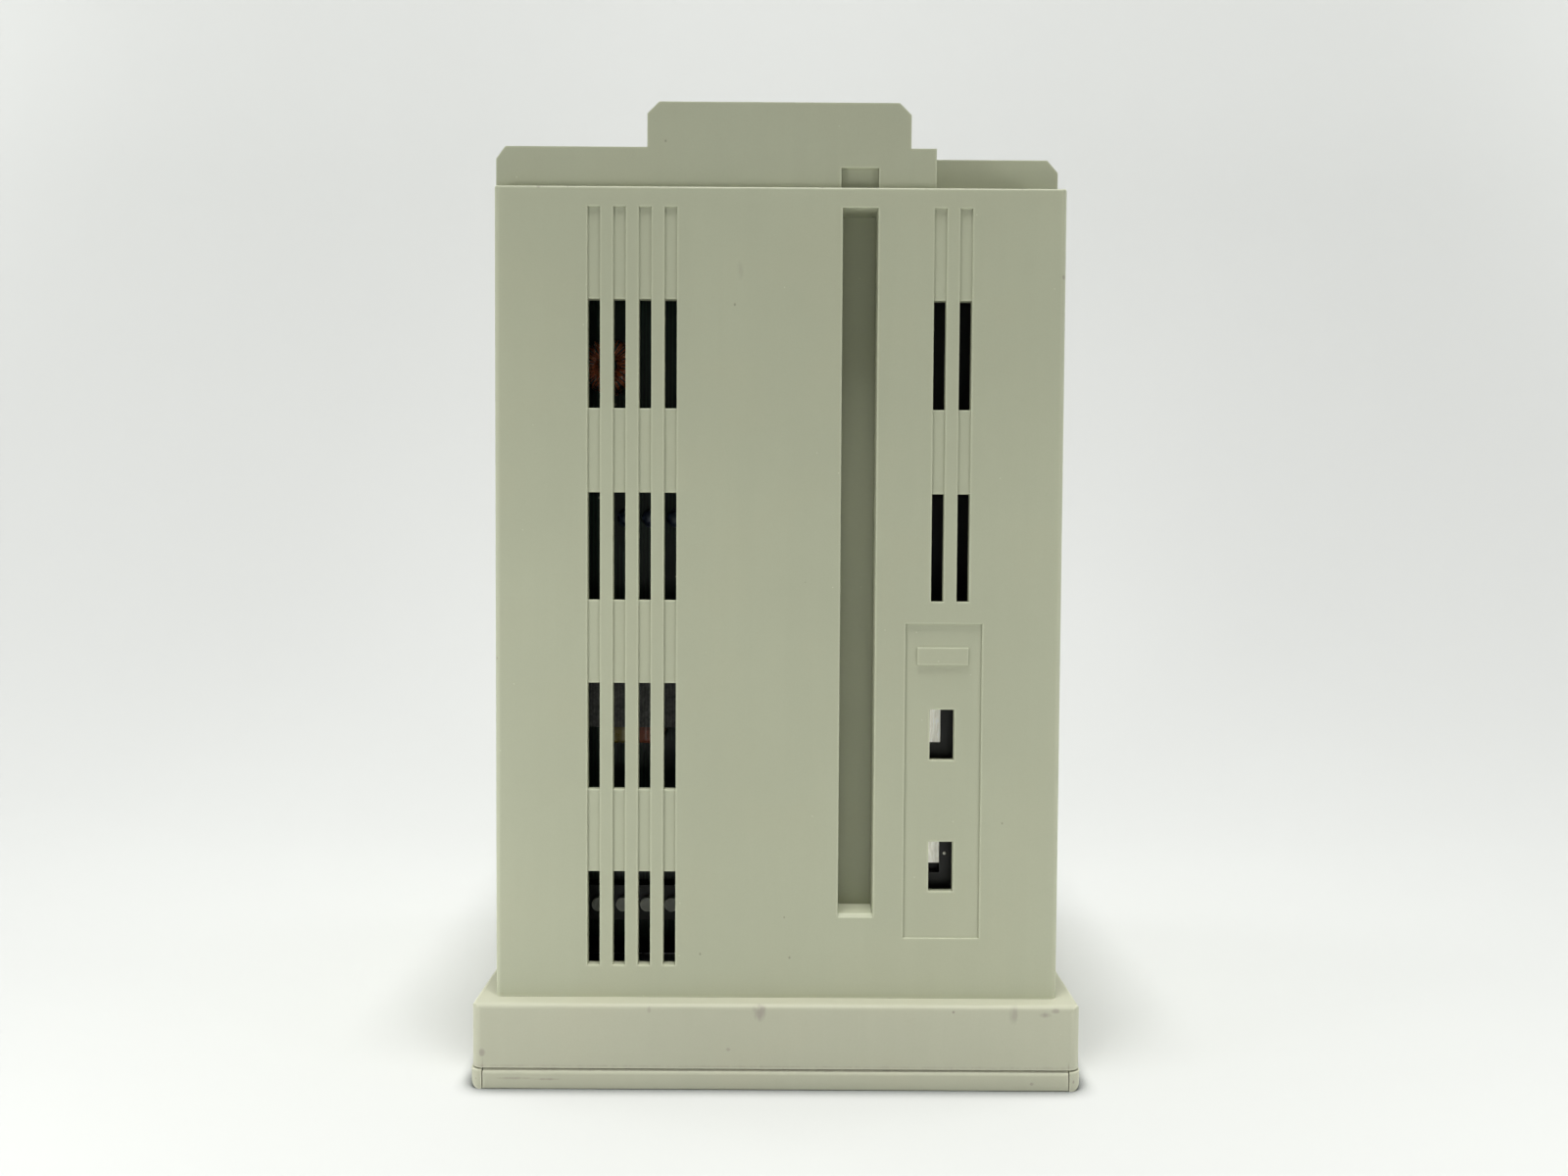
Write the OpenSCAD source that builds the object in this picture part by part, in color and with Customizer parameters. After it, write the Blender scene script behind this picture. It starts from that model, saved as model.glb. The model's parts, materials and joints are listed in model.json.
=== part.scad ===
// Compact computer unit standing on its square bezel, rear end up.
// Origin: centre of the footprint on the floor. +Z up, the slotted underside faces -Y.

/* [Bezel and door] */
// Width and depth of the square bezel
bezel_w = 144; // [143:0.5:146]
// How far the bezel stands out around the case
overhang = 4.72; // [4:0.01:5]
// Height of the door layer under the bezel
door_h = 4.95; // [4.8:0.05:5.2]
// Height of the bezel block
bezel_h = 15.35; // [15:0.05:16]
// Corner radius of the bezel in plan
bezel_r = 2.5; // [1.5:0.1:3]
// Radius of the bezel's upper edge
bezel_lip_r = 1.3; // [0.4:0.1:1.6]
// Width of each cheek beside the door
cheek_w = 2.8; // [2.6:0.05:3]

/* [Case] */
// Length of the case above the bezel
case_h = 192.3; // [190:0.1:195]
// Wall thickness of the mouldings
wall = 2.8; // [2.4:0.1:3]
// Corner radius of the case in plan
case_r = 1.5; // [0.5:0.1:2]
// Radius of the case's rear edge
case_lip_r = 0.7; // [0.3:0.1:1]

/* [Vents] */
// Width of a vent slot and of its groove
slot_w = 2.95; // [2.6:0.05:3.2]
// Distance from one vent column to the next
slot_pitch = 6.03; // [5.6:0.01:6.4]
// Depth of the shallow grooves
groove_depth = 0.35; // [0.3:0.05:1]

/* [Clamp channel] */
// Width of the clamp channel
channel_w = 8.35; // [7.5:0.05:9]
// Depth of the clamp channel
channel_depth = 8.3; // [7:0.1:9]

/* [Rear cover] */
// Height of the rear shoulders above the case
shoulder_h = 9.9; // [9:0.1:11]
// Height of the central raised part above the shoulders
tab_h = 10.6; // [9:0.1:12]
// Wall thickness of the rear cover
rear_wall = 2.5; // [2:0.1:3]

/* [Keys] */
// Distance from one of the five keys to the next
key_pitch = 22; // [20:0.5:24]

/* [Hidden] */
$fn = 48;
eps = 0.01;
fit_gap = 0.3;

case_w = bezel_w - 2 * overhang;
half_case = case_w / 2;
bezel_top = door_h + bezel_h;
case_top = bezel_top + case_h;
inner_half = half_case - wall;
shoulder_top = case_top + shoulder_h;
tab_top = shoulder_top + tab_h;

// Vent columns, by the left edge of each slot, and the rows cut right through
left_slots = [for (i = [0 : 3]) -45.28 + i * slot_pitch];
right_slots = [for (i = [0 : 1]) 36.14 + i * (slot_pitch + 0.03)];
groove_top = 207.85;
left_groove_bottom = 28.0;
right_groove_bottom = 115.5;
left_rows = [[160.8, 186.4], [115.5, 141.0], [70.3, 95.8], [28.0, 50.6]];
right_rows = [[160.8, 186.4], [115.5, 141.0]];

channel_x = 14.6;
channel_z = [40.6, 207.85];
channel_wall = 1.6;
channel_lead = 0.85;

recess_x = [30.22, 48.41];
recess_z = [34.9, 110.3];
recess_depth = 0.35;
tab_x = [33.1, 45.2];
tab_z = [100.5, 104.6];
window_x = [36.2, 42.1];
window_rows = [[77.7, 89.8], [46.1, 58.1]];

// Door: the leaf turns about pins in its front edge, under a cove in the bezel
leaf_half = bezel_w / 2 - cheek_w + 0.05;
leaf_t = 4.8;
leaf_top_r = 1.3;
leaf_low_r = 0.4;
frame_half = bezel_w / 2 + 0.25;
hinge_y = -frame_half + leaf_t / 2;
hinge_z = leaf_t / 2;
cove_r = 3.05;
pin_r = 0.9;
pin_clearance = 0.05;
leaf_back = 65.6;
view_x = 54;
view_y = [-44, 57];
view_lip = 2;
pane_z = [1.2, 3.2];

// Parts behind the door
panel_z = [7.0, 9.5];
display_x = 53;
display_y = [-22, 56];
display_rim = 4;
display_back = 16.4;
panel_cut = [panel_z[0] - 2, panel_z[1] + 1.5];
key_count = 5;
key_size = [13.6, 8.6];
key_y = -34;
key_post_x = 57;
key_front = 5.4;
key_flange_z = panel_z[1] + fit_gap;
key_board_z = 15.6;
light_x = -61.5;
light_pitch = 5;
light_r = 1.2;
rocker_x = -50;
rocker_y = -52;
rocker_z = 12;
rocker_rest = 10;
rocker_hole = [9.6, 6.3];
usb_x = 48;
usb_half = [6.6, 2.9];
card_y = -52;
card_half = [21.5, 1.7];
panel_screw = 64.5;
screw_hole_r = 1.6;
panel_screw_seat = panel_z[0] + 0.7;

// Boards, parallel to the slotted face
power_board_y = -46;
chassis_y = -36;
chassis_top = 194;
main_board_y = -26;
board_t = 1.6;
sheet = 1.2;
power_board_x = [-60, 8];
power_board_z = [28, 202];
main_board_x = 58;
main_board_z = [32, 190];
choke_x = -42.5;
choke_z = 172.7;
selector_board_y = -53;
spacer_r = 3;
screw_r = 1.4;
screw_head_r = 2.7;
screw_head_h = 1.8;

// Rear end
cover_front = -inner_half;
cover_back = inner_half;
step_x = 36.8;
step_y = -56.28;
tab_left = -31.6;
tab_right = 30.8;
tab_chamfer = 2.8;
slot_x = [-10.16, 10.16];
inlet_x = 52;
inlet_y = -26.5;
earth_y = 2;
port_x = -48.5;

// ---- helpers -------------------------------------------------------------

// A box between two corners
module span(x, y, z) {
    translate([x[0], y[0], z[0]])
        cube([x[1] - x[0], y[1] - y[0], z[1] - z[0]]);
}

// A box about a centre in plan, by its half sizes
module around(x, y, half, z) {
    span([x - half[0], x + half[0]], [y - half[1], y + half[1]], z);
}

// A rectangle with true round corners, centred on the origin
module round_rect(w, d, r) {
    square([w - 2 * r, d], center = true);
    square([w, d - 2 * r], center = true);
    for (x = [-1, 1], y = [-1, 1])
        translate([x * (w / 2 - r), y * (d / 2 - r)])
            circle(r);
}

// A round-cornered block standing on z0
module round_block(w, d, r, z0, z1) {
    translate([0, 0, z0])
        linear_extrude(z1 - z0)
            round_rect(w, d, r);
}

// A cylinder along Y from y0 to y1
module rod_y(x, z, r, y0, y1) {
    translate([x, y0, z])
        rotate([-90, 0, 0])
            cylinder(r = r, h = y1 - y0);
}

// A cylinder along X from x0 to x1
module rod_x(y, z, r, x0, x1) {
    translate([x0, y, z])
        rotate([0, 90, 0])
            cylinder(r = r, h = x1 - x0);
}

// A cylinder along Z from z0 to z1
module rod_z(x, y, r, z0, z1) {
    translate([x, y, z0])
        cylinder(r = r, h = z1 - z0);
}

// A profile drawn in X and Z, run along Y from y0 to y1
module along_y(y0, y1) {
    translate([0, y1, 0])
        rotate([90, 0, 0])
            linear_extrude(y1 - y0)
                children();
}

// A profile drawn in Y and Z, run along X from x0 to x1
module along_x(x0, x1) {
    translate([x0, 0, 0])
        rotate([90, 0, 90])
            linear_extrude(x1 - x0)
                children();
}

// Outline of a block seen from any side, its upper edges rounded
module lipped_outline(w, z0, z1, r) {
    inner = w / 2 - r;
    translate([-w / 2, z0])
        square([w, z1 - z0 - r]);
    translate([-inner, z0])
        square([2 * inner, z1 - z0]);
    for (x = [-inner, inner])
        translate([x, z1 - r])
            circle(r);
}

// A square round-cornered block whose upper edges are rounded too
module lipped_block(w, corner_r, z0, z1, lip_r) {
    intersection() {
        round_block(w, w, corner_r, z0, z1);
        along_y(-w, w)
            lipped_outline(w, z0, z1, lip_r);
        along_x(-w, w)
            lipped_outline(w, z0, z1, lip_r);
    }
}

// Copies its children onto the opposite face of the case
module both_faces() {
    children();
    mirror([0, 1, 0])
        children();
}

// ---- case ----------------------------------------------------------------

module vent_column(x, bottom, rows) {
    span([x, x + slot_w], [-half_case - 1, -half_case + groove_depth], [bottom, groove_top]);
    for (row = rows)
        span([x, x + slot_w], [-half_case - 1, -inner_half + 1], row);
}

module vents() {
    for (x = left_slots)
        vent_column(x, left_groove_bottom, left_rows);
    for (x = right_slots)
        vent_column(x, right_groove_bottom, right_rows);
}

module channel_box() {
    x = [channel_x - channel_wall, channel_x + channel_w + channel_wall];
    z = [channel_z[0] - channel_wall, channel_z[1] + channel_wall];
    span(x, [-inner_half - eps, -half_case + channel_depth + channel_wall], z);
}

module channel_cut() {
    x = [channel_x, channel_x + channel_w];
    y = [-half_case - channel_lead, -half_case + channel_lead];
    z = channel_z[0];
    span(x, [-half_case - 1, -half_case + channel_depth], channel_z);
    along_x(x[0], x[1])
        polygon([[y[0], z - 2 * channel_lead], [y[1], z], [y[1], z + 1], [y[0], z + 1]]);
}

module label_recess() {
    difference() {
        span(recess_x, [-half_case - 1, -half_case + recess_depth], recess_z);
        span(tab_x, [-half_case - 2, -half_case + 1], tab_z);
    }
    for (row = window_rows)
        span(window_x, [-half_case - 1, -inner_half + 1], row);
}

module case_shell() {
    color([0.65, 0.665, 0.57])
        difference() {
            union() {
                difference() {
                    lipped_block(case_w, case_r, bezel_top, case_top, case_lip_r);
                    round_block(2 * inner_half, 2 * inner_half, 1, bezel_top - 1, case_top + 1);
                }
                both_faces()
                    channel_box();
            }
            both_faces() {
                vents();
                channel_cut();
            }
            label_recess();
        }
}

// ---- bezel and door ------------------------------------------------------

module front_frame() {
    cavity = bezel_w - 6;
    rail = frame_half - cheek_w;
    roof = bezel_top - wall;
    spigot = 2 * inner_half - 0.2;
    color([0.68, 0.695, 0.6])
        difference() {
            union() {
                lipped_block(bezel_w, bezel_r, door_h, bezel_top, bezel_lip_r);
                round_block(spigot, spigot, 1, bezel_top - eps, bezel_top + 5.7);
            }
            difference() {
                round_block(cavity, cavity, 1, door_h - 1, roof);
                for (x = [-1, 1], y = [-1, 1])
                    rod_z(x * panel_screw, y * panel_screw, 3.2, panel_z[1], roof + 1);
            }
            round_block(120, 120, 1, roof - 1, bezel_top + 1);
            round_block(spigot - 4.7, spigot - 4.7, 1, bezel_top, bezel_top + 7);
            rod_x(hinge_y, hinge_z, cove_r, -rail, rail);
            for (x = [-1, 1], y = [-1, 1])
                rod_z(x * panel_screw, y * panel_screw, screw_r, panel_z[1] - 1, panel_z[1] + 6);
        }
}

// Outline of the door layer seen from the front: rounded lower corners
module door_section() {
    r = 2.2;
    translate([-frame_half, r])
        square([2 * frame_half, door_h - r]);
    translate([-frame_half + r, 0])
        square([2 * (frame_half - r), door_h]);
    for (x = [-1, 1])
        translate([x * (frame_half - r), r])
            circle(r);
}

module door_frame() {
    rail = frame_half - cheek_w;
    color([0.68, 0.695, 0.6])
        difference() {
            intersection() {
                along_y(-frame_half, frame_half)
                    door_section();
                difference() {
                    round_block(2 * frame_half, 2 * frame_half, bezel_r, 0, door_h);
                    span([-rail, rail], [-frame_half - 1, leaf_back + 0.45], [-1, door_h + 1]);
                }
            }
            difference() {
                round_block(bezel_w + 4, bezel_w + 4, 1, door_h - 0.35, door_h + 1);
                round_block(bezel_w - 1, bezel_w - 1, bezel_r, 0, door_h + 2);
            }
            for (x = [-rail - 1.8, rail - 1])
                rod_x(hinge_y, hinge_z, pin_r, x, x + 2.8);
        }
}

module hinge_pins() {
    rail = frame_half - cheek_w;
    color([0.7, 0.7, 0.72])
        for (x = [-rail - 1.8, rail - 5])
            rod_x(hinge_y, hinge_z, pin_r, x, x + 6.8);
}

// Outline of the door leaf across its hinge: rounded upper and lower front corners
module leaf_section() {
    front = -frame_half;
    translate([front + leaf_top_r, 0])
        square([leaf_back - front - leaf_top_r, leaf_t]);
    translate([front + leaf_low_r, 0])
        square([leaf_top_r, leaf_t - leaf_top_r]);
    translate([front, leaf_low_r])
        square([leaf_top_r, leaf_t - leaf_top_r - leaf_low_r]);
    translate([front + leaf_top_r, leaf_t - leaf_top_r])
        circle(leaf_top_r);
    translate([front + leaf_low_r, leaf_low_r])
        circle(leaf_low_r);
}

module door_leaf() {
    grip = 12;
    color([0.68, 0.695, 0.6])
        difference() {
            along_x(-leaf_half, leaf_half)
                leaf_section();
            span([-view_x, view_x], view_y, [-1, leaf_t + 1]);
            span([-view_x - view_lip, view_x + view_lip],
                 [view_y[0] - view_lip, view_y[1] + view_lip], [pane_z[0], leaf_t + 1]);
            span([-7, 7], [60.5, 64], [3.8, leaf_t + 1]);
            span([-grip, grip], [62, leaf_back + 1], [-1, 1.8]);
            for (x = [-1, 1])
                rod_x(hinge_y, hinge_z, pin_r + pin_clearance,
                      min(x * (leaf_half + 1), x * (leaf_half - 6)),
                      max(x * (leaf_half + 1), x * (leaf_half - 6)));
        }
}

module door_window() {
    color([0.75, 0.8, 0.8, 0.4])
        span([-view_x - view_lip + 0.1, view_x + view_lip - 0.1],
             [view_y[0] - view_lip + 0.1, view_y[1] + view_lip - 0.1], pane_z);
}

module catch_plate() {
    color([0.6, 0.6, 0.62])
        span([-7, 7], [60.5, 64], [3.8, leaf_t]);
}

module door_magnet() {
    color([0.25, 0.25, 0.26])
        span([-7, 7], [60.3, 64.8], [leaf_t + 0.4, panel_z[0]]);
}

// ---- front panel and what it carries -------------------------------------

function key_x(i) = (2 - i) * key_pitch;

module front_panel() {
    half = bezel_w / 2 - 3.4;
    color([0.3, 0.31, 0.3])
        difference() {
            union() {
                span([-half, half], [-half, half], panel_z);
                for (x = [-1, 1])
                    rod_z(x * key_post_x, key_y, 2.5, panel_z[1] - eps, key_board_z);
            }
            span([-display_x, display_x], display_y, panel_cut);
            for (i = [0 : key_count - 1])
                around(key_x(i), key_y, key_size / 2 + [fit_gap, fit_gap], panel_cut);
            around(rocker_x, rocker_y, rocker_hole, panel_cut);
            around(usb_x, card_y, usb_half, panel_cut);
            around(0, card_y, card_half, panel_cut);
            for (i = [-1 : 1])
                rod_z(light_x, key_y + i * light_pitch, light_r, panel_cut[0], panel_cut[1]);
            for (x = [-1, 1], y = [-1, 1]) {
                rod_z(x * panel_screw, y * panel_screw, screw_head_r,
                      panel_cut[0], panel_screw_seat + screw_head_h);
                rod_z(x * panel_screw, y * panel_screw, screw_hole_r, panel_cut[0], panel_cut[1]);
            }
            for (x = [-1, 1])
                rod_z(x * key_post_x, key_y, screw_r, panel_z[1] + 0.6, 17);
        }
}

module display_glass() {
    color([0.05, 0.07, 0.08])
        span([-display_x - 2, display_x + 2], [display_y[0] - 2, display_y[1] + 2],
             [panel_z[1], panel_z[1] + 1.8]);
}

module display_frame() {
    z = [panel_z[1], display_back];
    color([0.62, 0.63, 0.64])
        difference() {
            span([-display_x - display_rim, display_x + display_rim],
                 [display_y[0] - display_rim, display_y[1] + display_rim], z);
            span([-display_x - 2, display_x + 2], [display_y[0] - 2, display_y[1] + 2],
                 [z[0] - 1, z[0] + 1.8]);
        }
}

module display_board() {
    color([0.1, 0.35, 0.2])
        span([-45, 45], [-12, 46], [display_back, display_back + board_t]);
}

// A key: cap through the panel, flange behind it, stem onto its switch
module key(i) {
    color([0.62, 0.63, 0.57])
        translate([key_x(i), key_y, 0]) {
            around(0, 0, key_size / 2, [key_front, key_flange_z + eps]);
            around(0, 0, key_size / 2 + [1.5, 1.3], [key_flange_z, key_flange_z + 1]);
            rod_z(0, 0, 1.5, key_flange_z + 1 - eps, 12.9);
        }
}

module key_board() {
    color([0.1, 0.35, 0.2])
        difference() {
            around(0, key_y, [59.8, 6.4], [key_board_z, key_board_z + board_t]);
            for (x = [-1, 1])
                rod_z(x * key_post_x, key_y, screw_hole_r, key_board_z - 1, key_board_z + 3);
        }
}

module key_switches() {
    color([0.15, 0.15, 0.16])
        for (i = [0 : key_count - 1])
            translate([key_x(i), key_y, 0]) {
                around(0, 0, [3, 3], [key_board_z - 0.8, key_board_z]);
                rod_z(0, 0, 1.4, key_board_z - 1.2, key_board_z - 0.8 + eps);
            }
}

module status_lights() {
    color([0.2, 0.6, 0.25])
        for (i = [-1 : 1])
            rod_z(light_x, key_y + i * light_pitch, light_r, panel_z[0] - 0.3, panel_z[1] + 1.5);
}

module switch_housing() {
    color([0.08, 0.08, 0.085])
        translate([rocker_x, rocker_y, 0])
            difference() {
                union() {
                    around(0, 0, rocker_hole + [1, 1], [panel_z[0] - 1, panel_z[0]]);
                    around(0, 0, rocker_hole, [panel_z[0] - eps, 22]);
                }
                around(0, 0, rocker_hole - [1.2, 0.9], [panel_cut[0], 17]);
                translate([0, -6.1, rocker_z])
                    rotate([-90, 0, 0])
                        cylinder(r = 1.25, h = 12.2);
            }
}

module switch_rocker() {
    outline = [[-6.8, -5.2], [0, -4.3], [6.8, -5.2], [4, 2.5], [-4, 2.5]];
    color([0.12, 0.12, 0.13])
        translate([rocker_x, rocker_y, rocker_z])
            rotate([0, rocker_rest, 0]) {
                along_y(-5.1, 5.1)
                    polygon(outline);
                rod_y(0, 0, 1.2, -5.9, 5.9);
            }
}

module usb_port() {
    color([0.72, 0.72, 0.73])
        translate([usb_x, card_y, 0]) {
            difference() {
                around(0, 0, usb_half, [panel_z[0] - 0.4, 20]);
                around(0, 0, usb_half - [0.35, 0.35], [panel_cut[0], 18.8]);
            }
            span([-5.6, 5.6], [0.2, 2.0], [panel_z[0] + 1, 18.8 + eps]);
        }
}

module card_slot() {
    color([0.1, 0.1, 0.1])
        difference() {
            around(0, card_y, [24, 5], [panel_z[1], 24]);
            around(0, card_y, card_half, [panel_z[1] - 1, 22]);
        }
}

// ---- power board ---------------------------------------------------------

module chassis() {
    side = inner_half - 2.5;
    color([0.66, 0.67, 0.68])
        difference() {
            union() {
                span([-side, side], [chassis_y, chassis_y + sheet], [bezel_top, chassis_top]);
                for (x = [-side, side - sheet])
                    span([x, x + sheet], [chassis_y, 54], [bezel_top, chassis_top]);
            }
            for (p = power_spacers)
                rod_y(p[0], p[1], screw_r, chassis_y - 1, chassis_y + 3);
            for (p = main_spacers)
                rod_y(p[0], p[1], screw_r, chassis_y - 1, chassis_y + 3);
            span([-24, 24], [chassis_y - 1, chassis_y + 3], [bezel_top - 1, 30]);
        }
}

power_spacers = [[-56, 54], [4, 54], [-56, 188], [4, 188]];
main_spacers = [[-53, 40], [53, 40], [-53, 184], [53, 184]];

// A board with screw holes, its components on the side that faces y
module board(x, z, y, holes) {
    color([0.08, 0.3, 0.17])
        difference() {
            span(x, [y, y + board_t], z);
            for (p = holes)
                rod_y(p[0], p[1], screw_hole_r, y - 1, y + 3);
        }
}

module power_board() {
    board(power_board_x, power_board_z, power_board_y, power_spacers);
}

module main_board() {
    board([-main_board_x, main_board_x], main_board_z, main_board_y, main_spacers);
}

module selector_board() {
    board([28, 60], [40, 104], selector_board_y, []);
}

module spacers() {
    color([0.78, 0.75, 0.6]) {
        for (p = power_spacers)
            difference() {
                rod_y(p[0], p[1], spacer_r, power_board_y + board_t, chassis_y);
                rod_y(p[0], p[1], screw_r, power_board_y - 1, chassis_y + 1);
            }
        for (p = main_spacers)
            difference() {
                rod_y(p[0], p[1], spacer_r, chassis_y + sheet, main_board_y);
                rod_y(p[0], p[1], screw_r, chassis_y - 1, main_board_y + 1);
            }
        for (z = [44, 100])
            rod_y(56, z, spacer_r, selector_board_y + board_t, chassis_y);
    }
}

// A pan-head screw: the head stands on the origin, the shank runs to -Z
module screw(length) {
    difference() {
        cylinder(r = screw_head_r - 0.05, h = screw_head_h);
        translate([-1.6, -0.3, 0.9])
            cube([3.2, 0.6, 1]);
        translate([-0.3, -1.6, 0.9])
            cube([0.6, 3.2, 1]);
    }
    translate([0, 0, -length])
        cylinder(r = screw_r, h = length + eps);
}

module screws() {
    color([0.75, 0.75, 0.77]) {
        for (p = power_spacers)
            translate([p[0], power_board_y, p[1]])
                rotate([90, 0, 0])
                    screw(11.2);
        for (p = main_spacers)
            translate([p[0], main_board_y + board_t, p[1]])
                rotate([-90, 0, 0])
                    screw(11.2);
        for (x = [-1, 1], y = [-1, 1])
            translate([x * panel_screw, y * panel_screw, panel_screw_seat + screw_head_h])
                rotate([180, 0, 0])
                    screw(5);
        for (x = [-1, 1])
            translate([x * key_post_x, key_y, key_board_z + board_t])
                screw(6);
        for (p = cover_screws)
            translate([p[0], p[1], shoulder_top - 1])
                screw(10);
    }
}

// Ring core of the choke: inner and outer radius, height, and the winding over it
core_r = [3.0, 6.0];
core_h = 6.4;
winding_t = 1.2;

module choke_core() {
    color([0.2, 0.2, 0.19])
        translate([choke_x, power_board_y - winding_t, choke_z])
            rotate([90, 0, 0])
                difference() {
                    cylinder(r = core_r[1], h = core_h);
                    translate([0, 0, -1])
                        cylinder(r = core_r[0], h = core_h + 2);
                }
}

module choke_winding() {
    color([0.6, 0.25, 0.12])
        translate([choke_x, power_board_y, choke_z])
            rotate([90, 0, 0])
                rotate_extrude()
                    difference() {
                        translate([core_r[0] - winding_t, 0])
                            square([core_r[1] - core_r[0] + 2 * winding_t, core_h + 2 * winding_t]);
                        translate([core_r[0], winding_t])
                            square([core_r[1] - core_r[0], core_h]);
                    }
}

module transformer_core() {
    color([0.3, 0.3, 0.31])
        difference() {
            span([-50, -20], [-59, power_board_y], [84, 107.7]);
            span([-42, -28], [-58.3, power_board_y + 1], [83, 108.5]);
        }
}

module transformer_winding() {
    color([0.6, 0.55, 0.2])
        span([-41.7, -28.3], [-58, power_board_y], [79.7, 111.1]);
}

module capacitors() {
    color([0.75, 0.76, 0.8]) {
        for (i = [0 : 2])
            rod_y(-37.9 + 6.2 * i, 135.3, 2.6, power_board_y - 8, power_board_y);
        for (z = [128, 147])
            rod_y(-8, z, 8, power_board_y - 16, power_board_y);
    }
}

module power_heat_sink() {
    color([0.7, 0.7, 0.71])
        difference() {
            span([-10, 6], [-60, power_board_y], [62, 108]);
            for (x = [-7.6, -3.6, 0.4])
                span([x, x + 2.4], [-61, power_board_y - 3], [61, 109]);
        }
}

module mains_filter() {
    color([0.8, 0.75, 0.3])
        span([-22, 0], [-61, power_board_y], [164, 190]);
}

plug_z = 38;

module output_connector() {
    color([0.1, 0.1, 0.1])
        span([-48, -18], [-50, power_board_y], [plug_z - 4.5, plug_z + 4.5]);
}

module connector_plugs() {
    color([0.75, 0.76, 0.72])
        for (i = [0 : 3])
            rod_y(-44.9 + 6.1 * i, plug_z, 1.75, -52, -50);
}

// ---- selectors behind the windows ----------------------------------------

selector_travel = 2.6;
selector_rest = [81.5, 52.2];
knob_x = [34.7, 39.15];
knob_y = [-63.7, -59];
knob_h = 9;

// Housing of one selector: an open-fronted box around the knob's whole travel
module selector_housing(z0) {
    difference() {
        span([31.5, 44.5], [-61.5, selector_board_y], [z0 - 8, z0 + knob_h + 3]);
        span([knob_x[0] - fit_gap, knob_x[1] + fit_gap], [-62, knob_y[1] + fit_gap],
             [z0 - fit_gap, z0 + knob_h + selector_travel + fit_gap]);
    }
}

module selector_housings() {
    color([0.09, 0.09, 0.09]) {
        selector_housing(selector_rest[0]);
        selector_housing(selector_rest[1] - selector_travel);
    }
}

module selector_knob(z0) {
    color([0.88, 0.88, 0.84])
        span(knob_x, knob_y, [z0, z0 + knob_h]);
}

module selector_upper() {
    selector_knob(selector_rest[0]);
}

module selector_lower() {
    selector_knob(selector_rest[1]);
}

// ---- main board ----------------------------------------------------------

main_face = main_board_y + board_t;
cell_x = 40;
cell_z = 60;

module processor() {
    color([0.2, 0.35, 0.25])
        span([-16, 16], [main_face, main_face + 3], [76, 108]);
}

module cpu_heat_sink() {
    y = main_face + 3;
    color([0.7, 0.71, 0.72])
        difference() {
            span([-22, 22], [y, y + 20], [70, 114]);
            for (i = [0 : 6])
                span([-19.4 + 6 * i, -16.8 + 6 * i], [y + 4, y + 21], [69, 115]);
        }
}

module board_sockets() {
    color([0.12, 0.12, 0.12]) {
        difference() {
            span([-48, -40], [main_face, main_face + 8], [56, 128]);
            span([-44.8, -43.2], [main_face + 3, main_face + 9], [58, 126]);
        }
        for (x = slot_x)
            difference() {
                span([x - 4, x + 4], [main_face, main_face + 11], [136, 184]);
                span([x - 0.8, x + 0.8], [main_face + 4, main_face + 12], [138, 182]);
            }
        difference() {
            rod_y(cell_x, cell_z, 11.5, main_face, main_face + 4);
            rod_y(cell_x, cell_z, 10, main_face + 1, main_face + 5);
        }
    }
}

module memory_module() {
    color([0.08, 0.3, 0.17])
        span([-44.8, -43.2], [main_face + 3, main_face + 33], [58, 126]);
    color([0.1, 0.1, 0.1])
        for (i = [0 : 3])
            span([-43.2 - eps, -42.2], [main_face + 14, main_face + 26], [61 + 16 * i, 73 + 16 * i]);
}

module coin_cell() {
    color([0.78, 0.78, 0.76])
        rod_y(cell_x, cell_z, 9.9, main_face + 1, main_face + 4.2);
}

module storage_drive() {
    color([0.25, 0.25, 0.27])
        span([-35, 35], [42, 49], [34, 134]);
}

module drive_bracket() {
    side = inner_half - 2.5 - sheet;
    color([0.66, 0.67, 0.68]) {
        span([-side, side], [49, 49 + sheet], [31, 137]);
        for (x = [-side, side - sheet])
            span([x, x + sheet], [38, 49 + eps], [31, 137]);
    }
}

module expansion_card() {
    x = slot_x[1];
    color([0.08, 0.3, 0.17])
        span([x - 0.8, x + 0.8], [main_face + 4, 50], [138, 182]);
    color([0.08, 0.3, 0.17])
        span([x - 0.8, x + 0.8], [main_face + 14, 50], [182 - eps, tab_top - rear_wall - 0.9]);
    color([0.1, 0.1, 0.1])
        for (z = [150, 176])
            span([x + 0.8 - eps, x + 2.4], [8, 24], [z, z + 16]);
}

module slot_brackets() {
    z = tab_top - rear_wall;
    color([0.72, 0.72, 0.74])
        for (x = slot_x)
            span([x - 9.2, x + 9.2], [-58, 58], [z - 0.9, z]);
}

module ribbon_cable() {
    y = main_face;
    outline = [[y + 2, 35], [y + 2, 19], [0, 19], [0, 18.4], [y + 1.4, 18.4], [y + 1.4, 35]];
    color([0.6, 0.6, 0.62])
        rotate([90, 0, 90])
            translate([0, 0, -16])
                linear_extrude(32)
                    polygon(outline);
    color([0.1, 0.1, 0.1])
        span([-18, 18], [y, y + 6], [35 - eps, 41]);
}

// ---- rear end ------------------------------------------------------------

cover_screws = [[-61, -58], [-61, 58], [61, -50], [61, 58]];

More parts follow.
